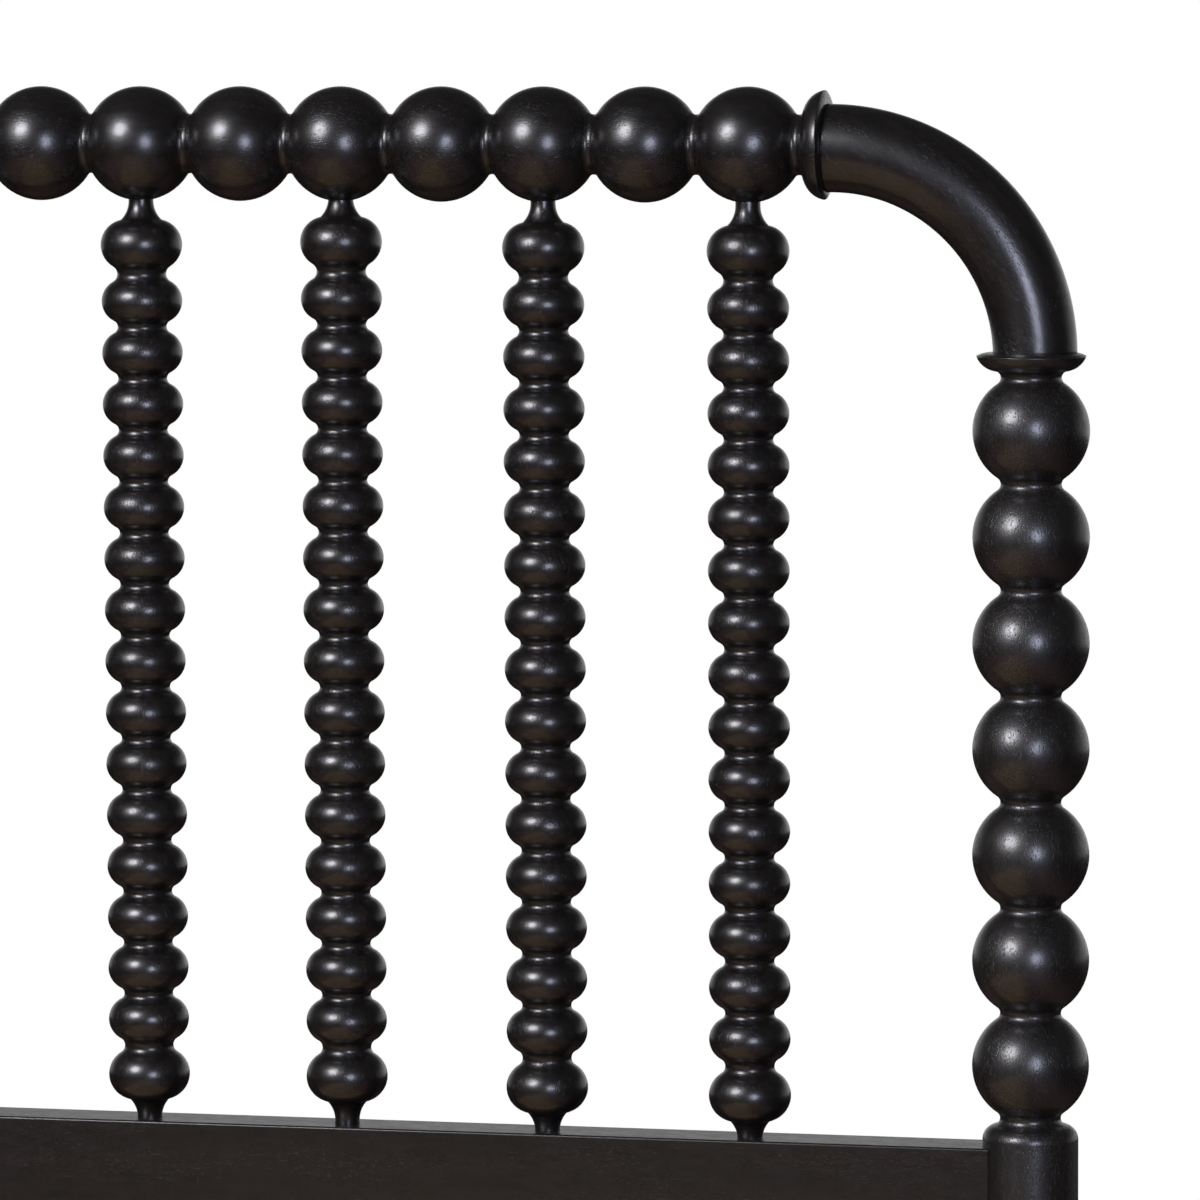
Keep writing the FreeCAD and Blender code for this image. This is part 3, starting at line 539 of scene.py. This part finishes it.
def stained_hardwood(name, finish, tilt, pitting, haze_setting, film_setting, level):
    """Open-grained hardwood, turned or planed, stained black and sprayed with satin lacquer. The stain
    is nearly black with a brown cast. The sealed wood underneath gives each highlight a wide hazy skirt,
    and the lacquer on top, thinner in patches, gives it a sharper core. Open pores are short pits along
    the grain, gathered in zones. They are drawn at nearly a millimetre, as coarse as they need to show,
    and they dull both layers, less where the pitting is less. The widest show as fine pale flecks, partly
    pale filler and partly a painted glint where their walls catch the light. Grit breaks the skirt into
    specks, and hand sanding leaves ripples."""
    haze, film = getattr(finish, haze_setting), getattr(finish, film_setting)
    made, tree = new_material(name)
    figure = grain(tree, tilt, across=5, along=160, detail=3.0)
    zones = grain(tree, tilt, across=14, along=90, detail=2.0)
    pores = grain(tree, tilt, across=0.9, along=2.8, detail=1.0)
    grit = grain(tree, tilt, across=0.8, along=1.5, detail=2.0)
    ripple = grain(tree, tilt, across=9, along=16, detail=2.0)
    patches = grain(tree, tilt, across=3, along=9, detail=3.0)
    zone = add(tree, "ShaderNodeMapRange", {"Value": zones, "From Min": 0.38, "From Max": 0.60,
                                            "To Min": 0.15})
    pit = add(tree, "ShaderNodeMapRange", {"Value": pores, "From Min": 0.57, "From Max": 0.65})
    pore = add(tree, "ShaderNodeMath", {0: pit, 1: zone}, operation="MULTIPLY")
    # The widest pores get pale flecks in the tint below: partly pale filler, partly a painted glint where the
    # pore walls catch the light
    wide = add(tree, "ShaderNodeMapRange", {"Value": pores, "From Min": 0.70, "From Max": 0.75})
    fleck = add(tree, "ShaderNodeMath", {0: wide, 1: zone}, operation="MULTIPLY")
    tone = add(tree, "ShaderNodeMapRange", {"Value": figure, "From Min": 0.35, "From Max": 0.65})
    stain = add(tree, "ShaderNodeMix", {"Factor": tone, "A": linear(finish.stain_deep),
                                        "B": linear(finish.stain)}, data_type="RGBA")
    tint = add(tree, "ShaderNodeMix", {"Factor": fleck, "A": stain, "B": linear(finish.pore)},
               data_type="RGBA")
    uneven = add(tree, "ShaderNodeBump", {"Height": ripple, "Distance": SANDING_RIPPLE})
    thin = add(tree, "ShaderNodeBump", {"Height": pore, "Distance": PORE_IN_LACQUER * pitting,
                                        "Normal": uneven}, invert=True)
    pitted = add(tree, "ShaderNodeBump", {"Height": pore, "Distance": PORE_IN_WOOD * pitting,
                                          "Normal": uneven}, invert=True)
    gritty = add(tree, "ShaderNodeBump", {"Height": grit, "Distance": GRIT * pitting, "Normal": pitted})
    hazy = add(tree, "ShaderNodeMapRange", {"Value": patches, "From Min": 0.3, "From Max": 0.7,
                                            "To Min": haze - HAZE_SPREAD, "To Max": haze + HAZE_SPREAD})
    dulling = add(tree, "ShaderNodeMapRange", {"Value": pore, "To Max": PORE_DULLING * pitting})
    dulled = add(tree, "ShaderNodeMath", {0: hazy, 1: dulling}, operation="ADD")
    cover = add(tree, "ShaderNodeMapRange", {"Value": patches, "From Min": 0.3, "From Max": 0.7,
                                             "To Min": film + FILM_SPREAD, "To Max": film - FILM_SPREAD})
    closed = add(tree, "ShaderNodeMapRange", {"Value": pore, "To Min": 1.0,
                                              "To Max": 1.0 - PORE_BARING * pitting})
    lacquer = add(tree, "ShaderNodeMath", {0: cover, 1: closed}, operation="MULTIPLY")
    wood = add(tree, "ShaderNodeBsdfPrincipled", {
        "Base Color": tint, "Roughness": dulled, "IOR": 1.45, "Specular IOR Level": level, "Normal": gritty,
        "Coat Weight": lacquer, "Coat Roughness": finish.sheen, "Coat IOR": 1.5, "Coat Normal": thin})
    add(tree, "ShaderNodeOutputMaterial", {"Surface": wood})
    return made


def sawn_softwood(name, finish, tilt):
    """Planed pine, left bare. Pale early wood and narrow honey-brown late wood run along the slat: the
    noise times the number of rings, folded into a wave, is dark where the wave is high."""
    rings = 9.0
    made, tree = new_material(name)
    height = add(tree, "ShaderNodeMath", {0: grain(tree, tilt, across=22, along=700, detail=2.0), 1: rings},
                 operation="MULTIPLY")
    band = add(tree, "ShaderNodeMath", {0: height, 1: 1.0}, operation="PINGPONG")
    late = add(tree, "ShaderNodeMapRange", {"Value": band, "From Min": 0.45})
    tint = add(tree, "ShaderNodeMix", {"Factor": late, "A": linear(finish.pine),
                                       "B": linear(finish.pine_late)}, data_type="RGBA")
    fibres = grain(tree, tilt, across=0.8, along=40, detail=2.0)
    bump = add(tree, "ShaderNodeBump", {"Height": fibres, "Distance": PINE_FIBRE})
    wood = add(tree, "ShaderNodeBsdfPrincipled", {"Base Color": tint, "Roughness": 0.62, "Normal": bump})
    add(tree, "ShaderNodeOutputMaterial", {"Surface": wood})
    return made


def turned_beech(name, finish, tilt):
    """Beech dowel, milled and bare: even pinkish tan with short dark flecks along it."""
    made, tree = new_material(name)
    rays = grain(tree, tilt, across=0.7, along=4, detail=1.0)
    fleck = add(tree, "ShaderNodeMapRange", {"Value": rays, "From Min": 0.58, "From Max": 0.70})
    tint = add(tree, "ShaderNodeMix", {"Factor": fleck, "A": linear(finish.beech),
                                       "B": linear(finish.beech_fleck)}, data_type="RGBA")
    wood = add(tree, "ShaderNodeBsdfPrincipled", {"Base Color": tint, "Roughness": 0.55})
    add(tree, "ShaderNodeOutputMaterial", {"Surface": wood})
    return made


def steel(name, code, roughness):
    """Steel with a thin plated or blackened skin: a metal whose sheen is mottled in spots half a
    millimetre wide."""
    made, tree = new_material(name)
    mottle = grain(tree, UPRIGHT, across=0.5, along=0.5, detail=2.0)
    rough = add(tree, "ShaderNodeMapRange", {"Value": mottle, "From Min": 0.3, "From Max": 0.7,
                                             "To Min": roughness - 0.08, "To Max": roughness + 0.08})
    metal = add(tree, "ShaderNodeBsdfPrincipled", {"Base Color": linear(code), "Metallic": 1.0,
                                                   "Roughness": rough})
    add(tree, "ShaderNodeOutputMaterial", {"Surface": metal})
    return made


def moulded_nylon(name, finish):
    """Injection-moulded nylon: dull, with the fine spark-eroded texture of its mould."""
    made, tree = new_material(name)
    texture = grain(tree, UPRIGHT, across=0.4, along=0.4, detail=2.0)
    bump = add(tree, "ShaderNodeBump", {"Height": texture, "Distance": MOULD_TEXTURE})
    plastic = add(tree, "ShaderNodeBsdfPrincipled", {"Base Color": linear(finish.nylon), "Roughness": 0.5,
                                                     "Normal": bump})
    add(tree, "ShaderNodeOutputMaterial", {"Surface": plastic})
    return made


def painted_floor(name, stage):
    """Matt floor paint with a fine grit. Near the bed it is pale and keeps the shadow, and further out it
    fades into the white of the backdrop. Only the camera sees that: reflections and bounced light get
    painted light and shade instead, a warm brown floor near the bed that stands in for a lit floor, and a
    dark one further out, a painted shade that stands in for an unlit floor."""
    made, tree = new_material(name)
    place = add(tree, "ShaderNodeTexCoord").outputs["Object"]
    distance = add(tree, "ShaderNodeVectorMath", {0: place}, operation="LENGTH")
    far = add(tree, "ShaderNodeMapRange", {"Value": distance, "From Min": FADE_START, "From Max": FADE_END},
              interpolation_type="SMOOTHSTEP")
    grit = add(tree, "ShaderNodeTexNoise", {"Vector": place, "Scale": 900.0, "Detail": 2.0})
    bump = add(tree, "ShaderNodeBump", {"Height": grit, "Strength": 0.3, "Distance": FLOOR_GRIT})
    seen = add(tree, "ShaderNodeLightPath").outputs["Is Camera Ray"]
    # Painted reflection and painted shade: every ray but the camera's sees the floor warm brown near the bed
    # and dark further out, not pale
    unlit = add(tree, "ShaderNodeMapRange", {"Value": distance, "From Min": LIT_END, "From Max": UNLIT_START})
    bounced = add(tree, "ShaderNodeMix", {"Factor": unlit, "A": linear(stage.bounce),
                                          "B": linear(stage.bounce_far)}, data_type="RGBA")
    tint = add(tree, "ShaderNodeMix", {"Factor": seen, "A": bounced, "B": linear(stage.floor)},
               data_type="RGBA")
    paint = add(tree, "ShaderNodeBsdfDiffuse", {"Color": tint, "Normal": bump})
    white = add(tree, "ShaderNodeEmission", {"Color": linear("#FFFFFF"), "Strength": 1.0})
    faded = add(tree, "ShaderNodeMath", {0: far, 1: seen}, operation="MULTIPLY")
    surface = add(tree, "ShaderNodeMixShader", {0: faded, 1: paint, 2: white})
    add(tree, "ShaderNodeOutputMaterial", {"Surface": surface})
    return made


def finish_of(name):
    """The material of that name, made when it is first asked for."""
    if name in bpy.data.materials:
        return bpy.data.materials[name]
    finish = bpy.context.scene.spindle_bed.finish
    if name in HARDWOODS:
        return stained_hardwood(name, finish, *HARDWOODS[name])
    makers = {
        "planed_pine": lambda: sawn_softwood(name, finish, ACROSS),
        "milled_beech": lambda: turned_beech(name, finish, ACROSS),
        "black_oxide_steel": lambda: steel(name, finish.black_oxide, 0.42),
        "zinc_plated_steel": lambda: steel(name, finish.zinc, 0.34),
        "moulded_nylon": lambda: moulded_nylon(name, finish),
    }
    return makers[name]()


# ---- The stage ----
FLOOR_REACH = 9.0
FLOOR_RINGS = 24
FLOOR_SIDES = 96
# The upper right of the headboard, which the lamps face
FOCUS = (0.3, 0.98, 1.0)
# Each lamp: its name, its direction and distance from there, its width and height in metres, the setting
# for its power, and its colour
LAMPS = (
    ("key_lamp", (-0.487, -0.738, 0.477), 4.5, (1.85, 1.85), "key_power", "#F8F6FF"),
    ("window", (0.394, -0.908, 0.119), 3.6, (1.2, 1.4), "window_power", "#E0E6FF"),
    ("fill", (-0.540, -0.710, 0.450), 4.6, (3.6, 3.0), "fill_power", "#FFFFFF"),
)
# Strength of the dark room in gloss, and the most that the pale backdrop behind the headboard reaches
DARK_ROOM = 0.035
BACKDROP = 0.7
SENSOR_WIDTH = 36


# ---- Operators, one for each kind of piece ----
class BED_OT_top_rails(bpy.types.Operator):
    """Turns the two beaded top rails"""

    bl_idname = "spindle_bed.top_rails"
    bl_label = "Top rails"

    def execute(self, context):
        settings = context.scene.spindle_bed
        collar = settings.collar
        for board in BOARDS:
            node = board + "_top_rail"
            rail = extent(node)
            beads = settings.rail.beads_to_spindle * len(numbered(board + "_spindle")) - 1
            outline = rail_outline(settings, rail.high[0], beads)
            piece = turned(node + "_turning", outline, (0, *rail.middle[1:]), (1, 0, 0))
            sockets = [cylinder(collar.rail_end + collar.gap, elbow_start(rail, sign, collar), (sign, 0, 0),
                                2 * collar.socket) for sign in SIDES.values()]
            place_piece(recessed(piece, sockets), node,
                        finish_of("black_stained_hardwood_top_rail"))
        return {"FINISHED"}


class BED_OT_elbows(bpy.types.Operator):
    """Bends the four plain elbows"""

    bl_idname = "spindle_bed.elbows"
    bl_label = "Elbows"

    def execute(self, context):
        collar = context.scene.spindle_bed.collar
        for board in BOARDS:
            rail = extent(board + "_top_rail")
            for side, sign in SIDES.items():
                node = f"{board}_{side}_elbow"
                piece = elbow_surface(node + "_bend", elbow_start(rail, sign, collar), sign, collar)
                place_piece(piece, node,
                            finish_of(f"black_stained_hardwood_{side}_elbow"))
        return {"FINISHED"}


class BED_OT_posts(bpy.types.Operator):
    """Turns the four posts and sinks the elbows' sockets and the seats of the bed bolts into them"""

    bl_idname = "spindle_bed.posts"
    bl_label = "Posts"

    def execute(self, context):
        settings = context.scene.spindle_bed
        post, collar = settings.post, settings.collar
        side_rail, bolts = extent("right_side_rail"), extent("bed_bolts")
        head_radius = (bolts.high[0] - bolts.low[0]) / 2 - abs(side_rail.middle[0])
        bolt_heights = (bolts.low[2] + head_radius, bolts.high[2] - head_radius)
        for board, end in BOARDS.items():
            cross_rail_top = extent(board + "_cross_rail").high[2]
            for side, sign in SIDES.items():
                node = f"{board}_{side}_post"
                low, high, middle = extent(node)
                outline = post_outline(settings, high[2], cross_rail_top, side_rail.low[2], low[2])
                piece = turned(node + "_turning", outline, (middle[0], middle[1], 0), (0, 0, 1))
                face = middle[1] + end * (post.radius - post.bolt_depth)
                cutters = [cylinder(post.bolt_seat, (sign * side_rail.middle[0], face, height), (0, end, 0),
                                    2 * post.bolt_depth) for height in bolt_heights]
                socket = (middle[0] + sign * collar.outset, middle[1], high[2] - collar.socket)
                cutters.append(cylinder(collar.post_end + collar.gap, socket, (0, 0, 1), 2 * collar.socket))
                place_piece(recessed(piece, cutters), node,
                            finish_of("black_stained_hardwood_post"))
        return {"FINISHED"}


class BED_OT_spindles(bpy.types.Operator):
    """Turns the bobbin spindles"""

    bl_idname = "spindle_bed.spindles"
    bl_label = "Spindles"

    def execute(self, context):
        settings = context.scene.spindle_bed
        for node in numbered("spindle"):
            low, high, middle = extent(node)
            outline = spindle_outline(settings, low[2], high[2])
            piece = turned(node + "_turning", outline, (middle[0], middle[1], 0), (0, 0, 1), around=48)
            place_piece(piece, node, finish_of("black_stained_hardwood_bobbin"))
        return {"FINISHED"}


class BED_OT_flat_rails(bpy.types.Operator):
    """Finishes the flat rails of both end boards, the side rails and the cleats"""

    bl_idname = "spindle_bed.flat_rails"
    bl_label = "Flat rails"

    def execute(self, context):
        for node in ("headboard_cross_rail", "headboard_lower_rail", "footboard_cross_rail"):
            dress(node, finish_of("black_stained_hardwood_board_across"))
        for node in ("left_side_rail", "right_side_rail", "left_cleat", "right_cleat"):
            dress(node, finish_of("black_stained_hardwood_board_lengthwise"))
        return {"FINISHED"}


class BED_OT_slats(bpy.types.Operator):
    """Finishes the deck slats"""

    bl_idname = "spindle_bed.slats"
    bl_label = "Deck slats"

    def execute(self, context):
        for node in numbered("slat"):
            dress(node, finish_of("planed_pine"))
        return {"FINISHED"}


class BED_OT_fittings(bpy.types.Operator):
    """Finishes the dowels, bolts, nuts, screws and floor glides"""

    bl_idname = "spindle_bed.fittings"
    bl_label = "Fittings"

    def execute(self, context):
        finishes = {
            "headboard_elbow_dowels": "milled_beech", "footboard_elbow_dowels": "milled_beech",
            "locating_dowels": "milled_beech", "bed_bolts": "black_oxide_steel",
            "barrel_nuts": "zinc_plated_steel", "slat_screws": "zinc_plated_steel",
            "cleat_screws": "zinc_plated_steel", "floor_glides": "moulded_nylon",
        }
        for node, name in finishes.items():
            dress(node, finish_of(name))
        return {"FINISHED"}


class BED_OT_stage(bpy.types.Operator):
    """Lays the pale floor, sets the lights and the room, and places the camera"""

    bl_idname = "spindle_bed.stage"
    bl_label = "Stage"

    def execute(self, context):
        stage = context.scene.spindle_bed.stage
        self.lay_floor(stage)
        self.light_room(context.scene, stage)
        for name, direction, distance, size, power, code in LAMPS:
            self.lamp(name, direction, distance, size, getattr(stage, power), code)
        self.place_camera(context.scene, stage)
        context.scene.view_settings.view_transform = "Standard"
        return {"FINISHED"}

    @staticmethod
    def lay_floor(stage):
        """A round floor of rings about its middle: radius times (cosine, sine) at height 0."""
        radius = np.linspace(0, FLOOR_REACH, FLOOR_RINGS)[:, None]
        angle = 2 * np.pi * np.arange(FLOOR_SIDES) / FLOOR_SIDES
        flat = np.zeros((FLOOR_RINGS, FLOOR_SIDES))
        rings = np.stack((radius * np.cos(angle), radius * np.sin(angle), flat), -1)
        points = np.concatenate((rings[0, :1], rings[1:].reshape(-1, 3)))
        ring = 1 + np.arange((FLOOR_RINGS - 1) * FLOOR_SIDES).reshape(-1, FLOOR_SIDES)
        beside = np.roll(ring, -1, axis=1)
        middle = np.stack((np.zeros(FLOOR_SIDES, int), ring[0], beside[0]), -1)
        quads = np.stack((ring[:-1], ring[1:], beside[1:], beside[:-1]), -1).reshape(-1, 4)
        mesh = bpy.data.meshes.new("floor")
        mesh.from_pydata(points.tolist(), [], middle.tolist() + quads.tolist())
        mesh.materials.append(painted_floor("matt_painted_floor", stage))
        floor = bpy.data.objects.new("floor", mesh)
        bpy.context.scene.collection.objects.link(floor)

    @staticmethod
    def light_room(scene, stage):
        """White all round to the camera. Gloss sees a dark room with a low pale backdrop behind the
        headboard. It grows with the direction's Y and fades with its height over the ranges given below.
        Everything else gets even soft light."""
        world = bpy.data.worlds.new("studio")
        world.use_nodes = True
        tree = world.node_tree
        tree.nodes.clear()
        ray = add(tree, "ShaderNodeLightPath").outputs
        direction = add(tree, "ShaderNodeTexCoord").outputs["Generated"]
        split = add(tree, "ShaderNodeSeparateXYZ", {"Vector": direction}).outputs
        behind = add(tree, "ShaderNodeMapRange", {"Value": split["Y"], "From Min": 0.20, "From Max": 0.95,
                                                  "To Max": BACKDROP})
        height = add(tree, "ShaderNodeMath", {0: split["Z"]}, operation="ABSOLUTE")
        low = add(tree, "ShaderNodeMapRange", {"Value": height, "From Min": 0.12, "From Max": 0.40,
                                               "To Min": 1.0, "To Max": 0.0})
        paper = add(tree, "ShaderNodeMath", {0: behind, 1: low}, operation="MULTIPLY")
        backdrop = add(tree, "ShaderNodeMath", {0: paper, 1: DARK_ROOM}, operation="MAXIMUM")
        even, seen, glossed = (
            add(tree, "ShaderNodeBackground", {"Color": linear("#FFFFFF"), "Strength": strength})
            for strength in (stage.sky, 1.0, backdrop))
        gloss_or_glass = add(tree, "ShaderNodeMath", {0: ray["Is Glossy Ray"], 1: ray["Is Transmission Ray"]},
                             operation="MAXIMUM")
        soft = add(tree, "ShaderNodeMixShader", {0: gloss_or_glass, 1: even, 2: glossed})
        whole = add(tree, "ShaderNodeMixShader", {0: ray["Is Camera Ray"], 1: soft, 2: seen})
        add(tree, "ShaderNodeOutputWorld", {"Surface": whole})
        scene.world = world

    @staticmethod
    def lamp(name, direction, distance, size, power, code):
        """An oval soft box that faces the focus from the given direction and distance."""
        data = bpy.data.lights.new(name, "AREA")
        data.shape = "ELLIPSE"
        data.size, data.size_y = size
        data.energy = power
        data.color = linear(code)[:3]
        box = bpy.data.objects.new(name, data)
        bpy.context.scene.collection.objects.link(box)
        toward = np.array(direction) / np.linalg.norm(direction)
        side = np.cross((0, 0, 1), toward)
        side /= np.linalg.norm(side)
        basis = Matrix(np.stack((side, np.cross(toward, side), toward), 1).tolist()).to_4x4()
        basis.translation = (np.array(FOCUS) + distance * toward).tolist()
        box.matrix_world = basis
        box.visible_camera = False

    @staticmethod
    def place_camera(scene, stage):
        """The camera's axes: ahead from heading and dip, then right and down, turned about it by the roll."""
        ahead = np.array((-math.sin(stage.heading) * math.cos(stage.dip),
                          math.cos(stage.heading) * math.cos(stage.dip), -math.sin(stage.dip)))
        level = np.array((math.cos(stage.heading), math.sin(stage.heading), 0))
        plumb = np.cross(ahead, level)
        right = math.cos(stage.roll) * level + math.sin(stage.roll) * plumb
        down = math.cos(stage.roll) * plumb - math.sin(stage.roll) * level
        data = bpy.data.cameras.new("camera")
        data.lens = stage.focal_length
        data.sensor_width = SENSOR_WIDTH
        data.clip_end = 100
        camera = bpy.data.objects.new("camera", data)
        scene.collection.objects.link(camera)
        basis = Matrix(np.stack((right, -down, -ahead), 1).tolist()).to_4x4()
        basis.translation = stage.camera_place
        camera.matrix_world = basis
        scene.camera = camera


class BED_PT_panel(bpy.types.Panel):
    """The bed's pieces in the sidebar"""

    bl_idname = "BED_PT_panel"
    bl_label = "Spindle bed"
    bl_space_type = "VIEW_3D"
    bl_region_type = "UI"
    bl_category = "Spindle bed"

    def draw(self, context):
        for maker in OPERATORS:
            self.layout.operator(maker.bl_idname)


GROUPS = (BED_PG_rail, BED_PG_post, BED_PG_collar, BED_PG_spindle, BED_PG_finish, BED_PG_stage,
          BED_PG_settings)
OPERATORS = (BED_OT_top_rails, BED_OT_elbows, BED_OT_posts, BED_OT_spindles, BED_OT_flat_rails, BED_OT_slats,
             BED_OT_fittings, BED_OT_stage)
CLASSES = GROUPS + OPERATORS + (BED_PT_panel,)


def register():
    for kind in CLASSES:
        bpy.utils.register_class(kind)
    bpy.types.Scene.spindle_bed = PointerProperty(type=BED_PG_settings)


def unregister():
    del bpy.types.Scene.spindle_bed
    for kind in reversed(CLASSES):
        bpy.utils.unregister_class(kind)


def main():
    register()
    for maker in OPERATORS:
        group, name = maker.bl_idname.split(".")
        getattr(getattr(bpy.ops, group), name)()
    bpy.context.view_layer.update()


if __name__ == "__main__":
    main()
